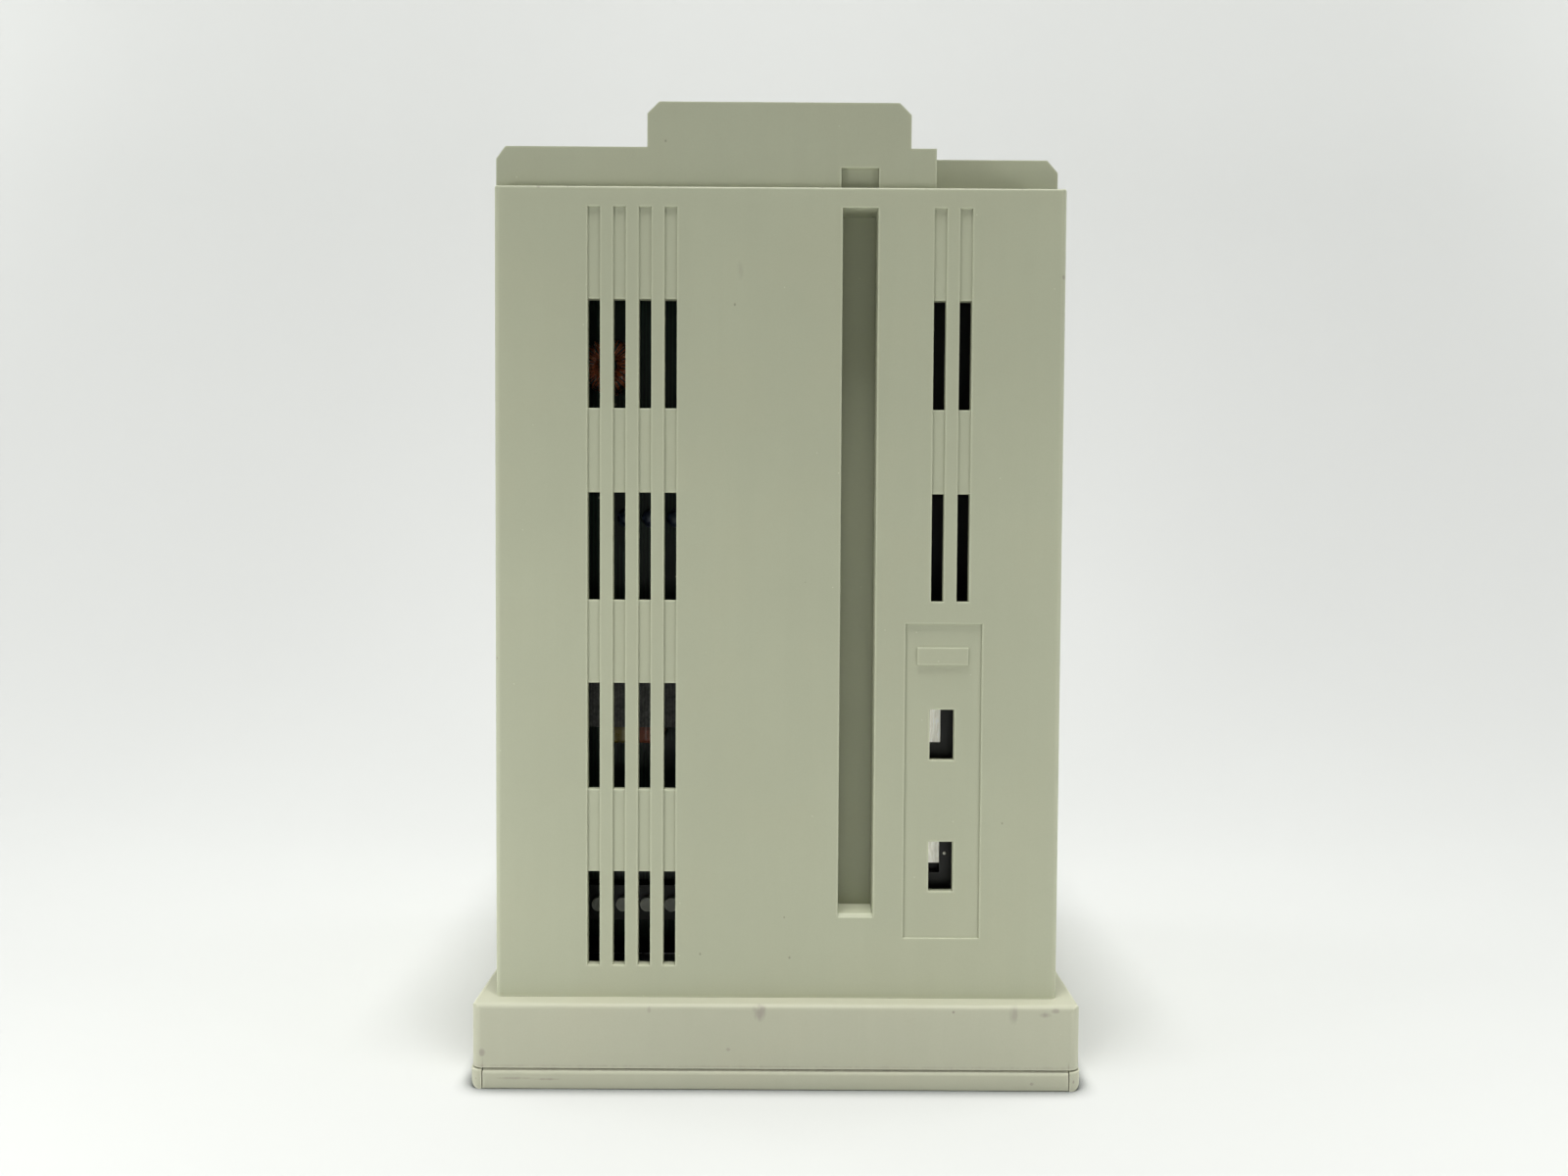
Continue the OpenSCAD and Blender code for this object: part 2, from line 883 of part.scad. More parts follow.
// Stepped outline of the rear end, drawn in X and Z, moved inwards by t
module rear_outline(t, bottom) {
    c = tab_chamfer;
    k = t * 0.6;
    polygon([
        [-half_case + t, bottom], [-half_case + t, shoulder_top - 3 - k],
        [-half_case + 2.2 + k, shoulder_top - t], [tab_left + t, shoulder_top - t],
        [tab_left + t, tab_top - c - k], [tab_left + c + k, tab_top - t],
        [tab_right - c - k, tab_top - t], [tab_right - t, tab_top - c - k],
        [tab_right - t, shoulder_top - t], [half_case - 2.6 - k, shoulder_top - t],
        [half_case - t, shoulder_top - 3 - k], [half_case - t, bottom]
    ]);
}

// Solid of the rear end with its front right part set back, moved inwards by t
module rear_solid(t, bottom) {
    difference() {
        along_y(cover_front + t, cover_back - t)
            rear_outline(t, bottom);
        span([step_x - t, half_case + 1], [cover_front - 1, step_y + t], [bottom - 1, tab_top]);
    }
}

module cover_openings() {
    span([-60.5, -36.5], [-50, 50], [shoulder_top - 5, tab_top]);
    for (x = slot_x)
        span([x - 6, x + 6], [-48, 48], [tab_top - 5, tab_top + 1]);
    span([inlet_x - 10, inlet_x + 10], [inlet_y - 13.7, inlet_y + 13.7],
         [shoulder_top - 5, tab_top]);
    rod_z(inlet_x, earth_y, 2.1, shoulder_top - 5, tab_top);
    for (i = [0 : 5])
        span([inlet_x - 10, inlet_x + 10], [14 + 6 * i, 17 + 6 * i], [shoulder_top - 5, tab_top]);
}

module rear_cover() {
    spigot = 2 * inner_half - 0.2;
    pocket_x = [14.3, 23.2];
    pocket_depth = 0.9;
    pocket_top = 217.9;
    color([0.64, 0.655, 0.56])
        difference() {
            union() {
                difference() {
                    rear_solid(0, case_top);
                    rear_solid(rear_wall, case_top - 1);
                }
                difference() {
                    round_block(spigot, spigot, 1, 206, case_top + eps);
                    round_block(spigot - 4, spigot - 4, 1, 205, case_top + 1);
                    for (y = [-1, 1])
                        span([12.6, 25], [y * 60 - 6, y * 60 + 6], [205, case_top + 1]);
                }
                span([pocket_x[0] - 1.6, pocket_x[1] + 1.6],
                     [cover_front, cover_front + pocket_depth + 1.6], [case_top, pocket_top + 1.6]);
                span([step_x - 1, inner_half - 0.2], [cover_front + 0.2, step_y + 1],
                     [case_top - 2, case_top]);
                for (p = cover_screws)
                    rod_z(p[0], p[1], 3.2, case_top - 2, shoulder_top - 1.5);
            }
            span(pocket_x, [cover_front - 1, cover_front + pocket_depth], [case_top - 1, pocket_top]);
            span([step_x, half_case + 1], [-half_case, step_y], [case_top, tab_top]);
            cover_openings();
            for (p = cover_screws) {
                rod_z(p[0], p[1], screw_r, case_top - 3, shoulder_top + 1);
                rod_z(p[0], p[1], screw_head_r, shoulder_top - 1, shoulder_top + 3);
            }
        }
}

// Rear ports: centre Y of each kind, then footprint as depth and width
serial_y = -32;
lan_y = [-4, 16];
usb_y = 36;
serial_size = [12.5, 30.8];
lan_size = [13.6, 16.0];
usb_size = [14.4, 13.2];
port_foot = 207;

module port_box(y, size, z) {
    span([port_x - size[0] / 2, port_x + size[0] / 2], [y - size[1] / 2, y + size[1] / 2], z);
}

module port_plate() {
    z = shoulder_top - rear_wall;
    color([0.72, 0.72, 0.74])
        difference() {
            span([-62.5, -34.5], [-53, 53], [z - 0.8, z]);
            port_box(serial_y, serial_size, [z - 2, z + 1]);
            for (y = lan_y)
                port_box(y, lan_size, [z - 2, z + 1]);
            port_box(usb_y, usb_size, [z - 2, z + 1]);
        }
}

module rear_ports() {
    top = shoulder_top - 0.4;
    color([0.6, 0.6, 0.62]) {
        difference() {
            port_box(serial_y, serial_size - [0.2, 0.2], [port_foot, top]);
            port_box(serial_y, [8.2, 16.6], [top - 5, top + 1]);
        }
        port_box(serial_y, [6.6, 15], [top - 5 - eps, top - 1]);
        for (y = lan_y)
            difference() {
                port_box(y, lan_size - [0.2, 0.2], [port_foot, top]);
                port_box(y, [8.2, 11.7], [top - 12, top + 1]);
            }
        difference() {
            port_box(usb_y, usb_size - [0.2, 0.2], [port_foot, top]);
            for (x = [-3.4, 3.4])
                translate([x, 0, 0])
                    port_box(usb_y, [5.1, 12.3], [top - 11, top + 1]);
        }
        for (x = [-3.4, 3.4])
            translate([x + 1.2, 0, 0])
                port_box(usb_y, [1.8, 11], [top - 11 - eps, top - 1]);
    }
}

// Inlet outline with its two cut corners, half sizes in X and Y
module inlet_outline(w, d, cut) {
    polygon([[-w, -d], [w - cut, -d], [w, -d + cut], [w, d - cut], [w - cut, d], [-w, d]]);
}

inlet_floor = 206;

module power_inlet() {
    rim = shoulder_top + 2.5;
    foot = 196;
    color([0.07, 0.07, 0.075])
        translate([inlet_x, inlet_y, 0])
            difference() {
                union() {
                    translate([0, 0, foot])
                        linear_extrude(shoulder_top - foot + eps)
                            square([19.8, 27.2], center = true);
                    translate([0, 0, shoulder_top])
                        linear_extrude(rim - shoulder_top)
                            round_rect(23.4, 31.4, 2);
                }
                translate([0, 0, inlet_floor])
                    linear_extrude(rim)
                        inlet_outline(8.3, 12.4, 4);
            }
}

module inlet_pins() {
    pin_z = [inlet_floor, 219];
    color([0.75, 0.7, 0.5])
        translate([inlet_x, inlet_y, 0]) {
            for (y = [-7, 7])
                span([-4, 0], [y - 1, y + 1], pin_z);
            span([1.5, 3.5], [-2, 2], pin_z);
        }
}

module earth_stud() {
    color([0.8, 0.68, 0.35])
        translate([inlet_x, earth_y, 0]) {
            rod_z(0, 0, 2, 215, 229.5);
            rod_z(0, 0, 4.6, shoulder_top, shoulder_top + 0.8);
            translate([0, 0, shoulder_top + 0.8 - eps])
                cylinder(r = 4, h = 3, $fn = 6);
            translate([0, 0, shoulder_top - rear_wall - 3])
                cylinder(r = 4, h = 3, $fn = 6);
        }
}

// ---- nodes ---------------------------------------------------------------

case_shell();
front_frame();
door_frame();
hinge_pins();
door_leaf();
door_window();
catch_plate();
door_magnet();
front_panel();
display_glass();
display_frame();
display_board();
key(0);  // key_1
key(1);  // key_2
key(2);  // key_3
key(3);  // key_4
key(4);  // key_5
key_board();
key_switches();
status_lights();
switch_housing();
switch_rocker();
usb_port();
card_slot();
chassis();
power_board();
choke_core();
choke_winding();
transformer_core();
transformer_winding();
capacitors();
power_heat_sink();
mains_filter();
output_connector();
connector_plugs();
selector_board();
selector_housings();
selector_upper();
selector_lower();
spacers();
screws();
main_board();
processor();
cpu_heat_sink();
board_sockets();
memory_module();
coin_cell();
storage_drive();
drive_bracket();
expansion_card();
slot_brackets();
ribbon_cable();
rear_cover();
port_plate();
rear_ports();
power_inlet();
inlet_pins();
earth_stud();
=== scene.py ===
import json
import math
import random

import bmesh
import bpy
from mathutils import Matrix, Vector


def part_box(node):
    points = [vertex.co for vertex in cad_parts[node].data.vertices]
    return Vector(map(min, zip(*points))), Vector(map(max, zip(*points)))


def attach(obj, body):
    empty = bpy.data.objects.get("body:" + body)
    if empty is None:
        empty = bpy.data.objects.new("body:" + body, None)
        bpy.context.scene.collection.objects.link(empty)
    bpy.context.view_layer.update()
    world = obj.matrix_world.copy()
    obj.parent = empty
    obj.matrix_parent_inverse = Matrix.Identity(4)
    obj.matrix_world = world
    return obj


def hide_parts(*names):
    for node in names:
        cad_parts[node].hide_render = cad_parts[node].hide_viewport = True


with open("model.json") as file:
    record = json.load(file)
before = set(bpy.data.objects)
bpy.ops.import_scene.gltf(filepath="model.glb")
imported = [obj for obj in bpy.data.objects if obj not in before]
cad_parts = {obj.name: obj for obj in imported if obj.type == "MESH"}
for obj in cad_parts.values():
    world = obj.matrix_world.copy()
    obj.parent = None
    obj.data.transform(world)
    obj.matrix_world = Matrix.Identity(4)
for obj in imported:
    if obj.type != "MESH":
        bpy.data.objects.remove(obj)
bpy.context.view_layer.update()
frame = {"nodes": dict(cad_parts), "record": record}

MM = 0.001
NODES = frame["nodes"]
SLOT_OF = {part["node"]: part["material_slot"] for part in frame["record"]["subparts"]}
for imported in list(bpy.data.materials):
    bpy.data.materials.remove(imported)


# ---- camera, light and floor ------------------------------------------------

def make_camera():
    """The view: just over half a case's height up, close in front, a hair turned and rolled."""
    yaw, pitch, roll = (math.radians(a) for a in (-0.119, 2.064, 0.344))
    right = Vector((math.cos(yaw), math.sin(yaw), 0))
    level = Vector((-math.sin(yaw), math.cos(yaw), 0))
    ahead = math.cos(pitch) * level - math.sin(pitch) * Vector((0, 0, 1))
    above = right.cross(ahead)
    side = math.cos(roll) * right + math.sin(roll) * above
    top = math.cos(roll) * above - math.sin(roll) * right
    camera = bpy.data.objects.new("camera", bpy.data.cameras.new("camera"))
    camera.data.lens = 27.75
    camera.data.sensor_width = 36
    camera.data.clip_start = 0.01
    camera.matrix_world = Matrix((side, top, -ahead)).transposed().to_4x4()
    camera.location = Vector((0.70, -353.38, 128.9)) * MM
    bpy.context.scene.collection.objects.link(camera)
    bpy.context.scene.camera = camera


def area_light(name, place, target, size, watts, spread=180):
    """A soft light at place that looks at target. Size is its width and depth; spread is in degrees."""
    light = bpy.data.objects.new(name, bpy.data.lights.new(name, "AREA"))
    light.data.shape = "RECTANGLE"
    light.data.size, light.data.size_y = size
    light.data.energy = watts
    light.data.spread = math.radians(spread)
    light.location = place
    light.visible_camera = False
    light.rotation_mode = "QUATERNION"
    light.rotation_quaternion = (Vector(target) - Vector(place)).to_track_quat("-Z", "Y")
    bpy.context.scene.collection.objects.link(light)


def make_world():
    """A pale studio behind everything. The light comes from the lamps, because the room in front is dark."""
    world = bpy.data.worlds.new("studio")
    world.use_nodes = True
    nodes, links = world.node_tree.nodes, world.node_tree.links
    seen = nodes.new("ShaderNodeLightPath").outputs["Is Camera Ray"]
    glow = nodes.new("ShaderNodeMix")
    links.new(seen, glow.inputs["Factor"])
    glow.inputs["A"].default_value = 0.08
    glow.inputs["B"].default_value = 0.80
    background = nodes["Background"]
    background.inputs["Color"].default_value = (0.97, 1.0, 0.965, 1)
    links.new(glow.outputs["Result"], background.inputs["Strength"])
    bpy.context.scene.world = world


def make_light():
    """A soft box above and in front, one behind at each side, and a low one at each side near the floor."""
    make_world()
    area_light("overhead", (0.0, -0.19, 1.10), (0, -0.10, 0), (0.24, 0.16), 12.5)
    area_light("behind_left", (-0.80, 0.14, 0.55), (-0.2, 0.2, 0.15), (0.5, 0.5), 2.95)
    area_light("behind_right", (0.80, 0.14, 0.55), (0.2, 0.2, 0.15), (0.5, 0.5), 2.55)
    area_light("low_left", (-0.38, -0.28, 0.06), (0, 0, 0.03), (0.10, 0.10), 0.315, spread=100)
    area_light("low_right", (0.38, -0.28, 0.06), (0, 0, 0.03), (0.10, 0.10), 0.225, spread=100)
    bpy.context.scene.view_settings.view_transform = "Standard"


def make_floor():
    """A pale seamless sweep: flat under the object, then curving up behind it. A painted contact shadow
    darkens it right where something stands on it, and beyond a metre or two a painted glow lightens it into a
    pale room."""
    half_width, front, bend_start, bend_radius, height = 3.0, -2.5, 0.16, 0.40, 2.4
    steps = 24
    profile = [(front, 0.0), (bend_start, 0.0)]
    for i in range(1, steps + 1):
        a = 0.5 * math.pi * i / steps
        profile.append((bend_start + bend_radius * math.sin(a), bend_radius * (1 - math.cos(a))))
    profile.append((bend_start + bend_radius, height))
    bm = bmesh.new()
    rows = [[bm.verts.new((x, y, z)) for y, z in profile] for x in (-half_width, half_width)]
    for i in range(len(profile) - 1):
        face = bm.faces.new((rows[0][i], rows[1][i], rows[1][i + 1], rows[0][i + 1]))
        face.smooth = True
    mesh = bpy.data.meshes.new("floor")
    bm.to_mesh(mesh)
    bm.free()
    floor = bpy.data.objects.new("floor", mesh)
    bpy.context.scene.collection.objects.link(floor)
    t = Tree("floor_paper")
    cloud = t.noise(3.0, detail=3)
    paper = t.mix(cloud, (0.540, 0.548, 0.534), (0.562, 0.570, 0.555))
    # Painted contact shadow: the floor is darker where it meets anything standing on it.
    contact = t.span(t.corner(5.0 * MM, inside=False, alone=False), 0.5, 0.97, 0.85, 0.0)
    t.base(t.mix(contact, paper, (0.075, 0.085, 0.075)))
    t.set("Roughness", 0.9)
    t.bump(t.noise(900, detail=2), 0.1, 0.1 * MM)
    # Painted glow: from about a metre and a half out the floor glows, standing in for light on the far floor
    # and room.
    t.set("Emission Color", (0.97, 1.0, 0.965))
    t.set("Emission Strength", t.span(t.spot((0, 300, 200), (3000, 3000, 3000)), 0.50, 0.81, 0.62, 0.0))
    mesh.materials.append(t.material)


# ---- material building ------------------------------------------------------

class Tree:
    """A material and short ways to add to its node tree. Places are in metres, in the part's frame."""

    def __init__(self, name):
        self.material = bpy.data.materials.new(name)
        self.material.use_nodes = True
        self.nodes = self.material.node_tree.nodes
        self.links = self.material.node_tree.links
        self.shader = self.nodes["Principled BSDF"]
        self.place = self.add("ShaderNodeTexCoord").outputs["Object"]

    def add(self, kind, **values):
        node = self.nodes.new(kind)
        for key, value in values.items():
            setattr(node, key, value)
        return node

    def feed(self, socket, value):
        """Joins an output to a socket, or sets the socket to a number or colour."""
        if hasattr(value, "is_output"):
            self.links.new(value, socket)
        elif isinstance(value, (tuple, list)) and len(value) == 3 and socket.type == "RGBA":
            socket.default_value = (*value, 1)
        else:
            socket.default_value = value

    def set(self, name, value):
        self.feed(self.shader.inputs[name], value)

    def base(self, value):
        self.set("Base Color", value)

    def mapped(self, scale=(1, 1, 1), shift=(0, 0, 0)):
        node = self.add("ShaderNodeMapping")
        self.feed(node.inputs["Vector"], self.place)
        node.inputs["Location"].default_value = shift
        node.inputs["Scale"].default_value = scale
        return node.outputs["Vector"]

    def noise(self, scale, detail=2.0, stretch=None, rough=0.5, shift=(0, 0, 0)):
        node = self.add("ShaderNodeTexNoise")
        self.feed(node.inputs["Vector"], self.mapped(stretch or (1, 1, 1), shift))
        node.inputs["Scale"].default_value = scale
        node.inputs["Detail"].default_value = detail
        node.inputs["Roughness"].default_value = rough
        return node.outputs["Fac"]

    def cells(self, scale, output="Distance", stretch=None):
        node = self.add("ShaderNodeTexVoronoi")
        self.feed(node.inputs["Vector"], self.mapped(stretch or (1, 1, 1)))
        node.inputs["Scale"].default_value = scale
        return node.outputs[output]

    def waves(self, scale, direction="X", distortion=0.0, stretch=None):
        node = self.add("ShaderNodeTexWave", bands_direction=direction)
        self.feed(node.inputs["Vector"], self.mapped(stretch or (1, 1, 1)))
        node.inputs["Scale"].default_value = scale
        node.inputs["Distortion"].default_value = distortion
        return node.outputs["Fac"]

    def math(self, operation, a, b=0.0):
        node = self.add("ShaderNodeMath", operation=operation)
        self.feed(node.inputs[0], a)
        self.feed(node.inputs[1], b)
        return node.outputs["Value"]

    def span(self, value, low, high, to_low=0.0, to_high=1.0):
        """value from low..high onto to_low..to_high, smoothly and clamped."""
        node = self.add("ShaderNodeMapRange", interpolation_type="SMOOTHSTEP")
        self.feed(node.inputs["Value"], value)
        for name, number in zip(("From Min", "From Max", "To Min", "To Max"), (low, high, to_low, to_high)):
            node.inputs[name].default_value = number
        return node.outputs["Result"]

    def mix(self, factor, a, b):
        node = self.add("ShaderNodeMix", data_type="RGBA")
        self.feed(node.inputs["Factor"], factor)
        self.feed(node.inputs["A"], a)
        self.feed(node.inputs["B"], b)
        return node.outputs["Result"]

    def spot(self, centre, half):
        """1 at centre, falling to 0 on the ellipsoid with those half sizes, all in millimetres."""
        scale = [1 / (h * MM) for h in half]
        shift = [-c / h for c, h in zip(centre, half)]
        node = self.add("ShaderNodeTexGradient", gradient_type="SPHERICAL")
        self.feed(node.inputs["Vector"], self.mapped(scale, shift))
        return node.outputs["Fac"]

    def corner(self, reach, inside, alone=True):
        """Below 1 near an outside corner (inside=True) or an inside one, within reach; 1 elsewhere.
        Other objects count as well unless alone."""
        node = self.add("ShaderNodeAmbientOcclusion", samples=6, inside=inside, only_local=alone)
        node.inputs["Distance"].default_value = reach
        return node.outputs["AO"]

    def bump(self, height, strength, distance):
        node = self.add("ShaderNodeBump")
        self.feed(node.inputs["Height"], height)
        node.inputs["Strength"].default_value = strength
        node.inputs["Distance"].default_value = distance
        self.set("Normal", node.outputs["Normal"])


def shaded(colour, factor):
    return tuple(min(1.0, c * factor) for c in colour)


def moulded(name, colour, rough=0.62, relief=0.35, scuffs_and_shade=(), specks=True):
    """Moulded plastic: fine spark-eroded grain, slow mottling, faint flow streaks, specks and the marks it is
    given (scuff marks, and painted shade for some). Outer edges get a painted highlight, and inner corners
    painted shade."""
    grain, edge_highlight_amount, corner_shade_amount = 3200, 0.8, 0.45
    t = Tree(name)
    slow = t.span(t.noise(16, detail=3), 0.3, 0.7)
    tone = t.mix(slow, shaded(colour, 0.972), shaded(colour, 1.022))
    flow = t.span(t.noise(1.0, detail=3, stretch=(260, 260, 16)), 0.35, 0.7)
    tone = t.mix(t.math("MULTIPLY", flow, 0.35), tone, shaded(colour, 0.955))
    warm = t.span(t.noise(55, detail=2, shift=(3, 1, 7)), 0.42, 0.72)
    tone = t.mix(t.math("MULTIPLY", warm, 0.30), tone, (colour[0] * 1.02, colour[1] * 0.99, colour[2] * 0.97))
    fine = t.noise(grain, detail=2)
    tone = t.mix(t.span(fine, 0.35, 0.75, 0.0, 0.16), tone, shaded(colour, 0.86))
    if specks:
        pale = t.span(t.cells(150), 0.018, 0.034, 0.5, 0.0)
        tone = t.mix(pale, tone, shaded(colour, 1.45))
        dark = t.span(t.cells(95, stretch=(1, 1, 0.8)), 0.016, 0.032, 0.6, 0.0)
        tone = t.mix(dark, tone, shaded(colour, 0.45))
    rub = t.noise(900, detail=3, stretch=(1, 1, 0.25))
    # Each mark darkens the tone: most are scuff marks, and some are painted shade.
    for centre, half, strength in scuffs_and_shade:
        mark = t.span(t.math("MULTIPLY", t.spot(centre, half), rub), 0.10, 0.42, 0.0, strength)
        tone = t.mix(mark, tone, (colour[0] * 0.66, colour[1] * 0.60, colour[2] * 0.66))
    # Painted highlight: outer edges are painted paler, standing in for light catching them.
    painted_edge_highlight = t.span(t.corner(0.55 * MM, inside=True), 0.55, 1.0, 1.0, 0.0)
    tone = t.mix(t.math("MULTIPLY", painted_edge_highlight, edge_highlight_amount), tone, shaded(colour, 1.35))
    # Painted shade: inner corners are painted darker, where shade falls in them.
    painted_corner_shade = t.span(t.corner(0.5 * MM, inside=False), 0.45, 0.95, 1.0, 0.0)
    tone = t.mix(t.math("MULTIPLY", painted_corner_shade, corner_shade_amount), tone, shaded(colour, 0.55))
    t.base(tone)
    wear = t.noise(240, detail=4)
    t.set("Roughness", t.span(wear, 0.3, 0.7, rough - 0.03, rough + 0.03))
    lumps = t.math("ADD", fine, t.math("MULTIPLY", t.noise(240, detail=2), 0.6))
    t.bump(lumps, relief, 0.03 * MM)
    return t.material


def brushed(name, colour, rough, direction, metallic=1.0, scale=90, dull=0.85):
    """Sheet or machined metal: fine lines along one axis over a slow, slightly dull mottle."""
    t = Tree(name)
    stretch = [1.0 if axis == direction else 28.0 for axis in "xyz"]
    lines = t.noise(scale, detail=4, stretch=stretch)
    cloud = t.noise(45, detail=3)
    tone = t.mix(t.span(cloud, 0.3, 0.7), shaded(colour, dull), colour)
    t.base(t.mix(t.span(lines, 0.3, 0.75, 0.0, 0.35), tone, shaded(colour, 0.7)))
    t.set("Metallic", metallic)
    t.set("Roughness", t.span(lines, 0.25, 0.75, rough - 0.08, rough + 0.1))
    t.bump(lines, 0.25, 0.02 * MM)
    return t.material


def board_face(name):
    """Solder resist over copper: tracks on a grid, vias and small pads, with a woven base under it."""
    t = Tree(name)
    weave = t.math("MULTIPLY", t.waves(900, "X"), t.waves(900, "Z"))
    ground = t.mix(t.span(weave, 0.0, 0.6), (0.020, 0.034, 0.026), (0.028, 0.044, 0.034))
    lane = t.cells(240, "Color", stretch=(1, 1, 0.22))
    track = t.span(t.waves(330, "X", distortion=0.6, stretch=(1, 1, 0.1)), 0.62, 0.72)
    keep = t.span(lane, 0.45, 0.5)
    track = t.math("MULTIPLY", track, keep)
    tone = t.mix(t.math("MULTIPLY", track, 0.8), ground, (0.040, 0.080, 0.056))
    via = t.span(t.cells(190), 0.07, 0.09, 1.0, 0.0)
    tone = t.mix(via, tone, (0.24, 0.23, 0.20))
    t.base(tone)
    t.set("Metallic", t.math("MULTIPLY", via, 0.5))
    t.set("Roughness", t.span(t.noise(400, detail=2), 0.3, 0.7, 0.3, 0.45))
    t.bump(t.math("ADD", track, t.math("MULTIPLY", via, -1.0)), 0.5, 0.04 * MM)
    return t.material


def wire_copper(name):
    """Enamelled copper wire: red-brown varnish with pale lines painted in as glints."""
    t = Tree(name)
    coat = t.span(t.noise(500, detail=3), 0.35, 0.7)
    tone = t.mix(coat, (0.50, 0.12, 0.05), (0.90, 0.30, 0.13))
    # Painted highlight: scattered near-white lines stand in for glints on the wire.
    painted_glint = t.span(t.noise(1100, detail=2), 0.60, 0.70)
    t.base(t.mix(painted_glint, tone, (1.0, 0.82, 0.74)))
    t.set("Metallic", t.span(coat, 0.0, 1.0, 0.45, 0.7))
    t.set("Roughness", t.span(t.noise(900, detail=2), 0.3, 0.7, 0.22, 0.42))
    t.set("Coat Weight", 0.6)
    t.set("Coat Roughness", 0.12)
    t.bump(t.noise(2600, detail=1), 0.3, 0.02 * MM)
    return t.material


def tape_film(name, colour):
    """Wrapped insulating tape: glossy film with lapped edges and a little haze."""
    t = Tree(name)
    lap = t.span(t.waves(62, "Z", distortion=0.25), 0.86, 0.97)
    haze = t.span(t.noise(130, detail=4), 0.3, 0.75)
    tone = t.mix(haze, shaded(colour, 0.8), shaded(colour, 1.1))
    t.base(t.mix(t.math("MULTIPLY", lap, 0.5), tone, shaded(colour, 0.45)))
    t.set("Roughness", t.span(haze, 0.0, 1.0, 0.22, 0.4))
    t.set("Coat Weight", 0.5)
    t.bump(t.math("ADD", lap, t.math("MULTIPLY", haze, 0.3)), 0.5, 0.06 * MM)
    return t.material


def laminated(name):
    """Ferrite and steel cores: dark grey with ground streaks and chipped grains."""
    t = Tree(name)
    grain = t.noise(1400, detail=4)
    layers = t.span(t.waves(420, "X", distortion=0.3), 0.55, 0.9)
    tone = t.mix(t.span(grain, 0.3, 0.75), (0.060, 0.060, 0.058), (0.130, 0.130, 0.124))
    t.base(t.mix(t.math("MULTIPLY", layers, 0.4), tone, (0.016, 0.016, 0.017)))
    t.set("Metallic", 0.25)
    t.set("Roughness", t.span(grain, 0.3, 0.7, 0.42, 0.62))
    t.bump(t.math("ADD", layers, grain), 0.5, 0.05 * MM)
    return t.material


def clear_pane(name):
    """Smoked clear plastic with wiping marks."""
    t = Tree(name)
    smear = t.span(t.noise(40, detail=4, stretch=(1, 4, 1)), 0.45, 0.75)
    t.base(t.mix(smear, (0.70, 0.74, 0.73), (0.62, 0.66, 0.65)))
    t.set("Transmission Weight", 0.92)
    t.set("IOR", 1.49)
    t.set("Roughness", t.math("MULTIPLY", smear, 0.09))
    t.bump(t.noise(14, detail=1), 0.1, 0.05 * MM)
    return t.material


def dark_glass(name):
    """A display that is off: nearly black behind gloss, with its faint cell grid."""
    t = Tree(name)
    grid = t.math("MAXIMUM", t.span(t.waves(520, "X"), 0.9, 0.99), t.span(t.waves(520, "Y"), 0.9, 0.99))
    tone = t.mix(grid, (0.012, 0.016, 0.017), (0.022, 0.028, 0.028))
    haze = t.span(t.noise(35, detail=4), 0.4, 0.8)
    t.base(t.mix(t.math("MULTIPLY", haze, 0.3), tone, (0.035, 0.042, 0.042)))
    t.set("Roughness", t.span(haze, 0.0, 1.0, 0.06, 0.2))
    t.set("Coat Weight", 0.5)
    t.bump(t.noise(300, detail=2), 0.05, 0.02 * MM)
    return t.material


def light_pipe(name):
    """Tinted clear plastic with a moulded diffusing texture."""
    t = Tree(name)
    frost = t.noise(1500, detail=2)
    t.base(t.mix(t.span(frost, 0.3, 0.7), (0.10, 0.42, 0.16), (0.20, 0.60, 0.28)))
    t.set("Transmission Weight", 0.45)
    t.set("Roughness", t.span(frost, 0.3, 0.7, 0.2, 0.4))
    t.bump(frost, 0.4, 0.03 * MM)
    return t.material


def fibrous_white(name):
    """Filled nylon: white with short fibres. A faint glow stands in for the light that passes through it."""
    t = Tree(name)
    fibre = t.noise(420, detail=4, stretch=(5, 5, 1), rough=0.65)
    tone = t.mix(t.span(fibre, 0.3, 0.72), (0.82, 0.80, 0.71), (1.0, 0.985, 0.92))
    t.base(t.mix(t.span(t.noise(1100, detail=2), 0.64, 0.76, 0.0, 0.3), tone, (0.68, 0.66, 0.58)))
    t.set("Roughness", t.span(fibre, 0.3, 0.7, 0.38, 0.58))
    t.set("Emission Color", (1.0, 0.99, 0.92))
    t.set("Emission Strength", t.span(fibre, 0.3, 0.7, 0.04, 0.12))
    t.bump(fibre, 0.5, 0.05 * MM)
    return t.material


# Marks on the bezel and the door layer: centre, half size, strength. Most are scuff marks; the strip also has
# painted shade.
FACE = -72.0
BEZEL_SCUFFS = (
    ((-4.0, FACE, 18.6), (2.6, 3, 3.6), 0.75),
    ((56.3, FACE, 18.2), (2.0, 3, 3.4), 0.55),
    ((63.5, FACE, 18.2), (2.2, 3, 1.2), 0.75),
    ((66.0, FACE, 19.2), (1.8, 3, 1.0), 0.70),
    ((41.9, FACE, 18.8), (0.55, 2, 0.55), 1.0),
    ((-69.6, FACE, 8.6), (1.6, 3, 1.5), 0.7),
    ((-11.3, FACE, 9.6), (1.0, 2, 0.7), 0.6),
    ((-30.0, FACE, 19.0), (0.8, 2, 1.2), 0.5),
)
LEAF_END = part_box("door_leaf")[1][0] / MM    # where the door's leaf meets its cheeks
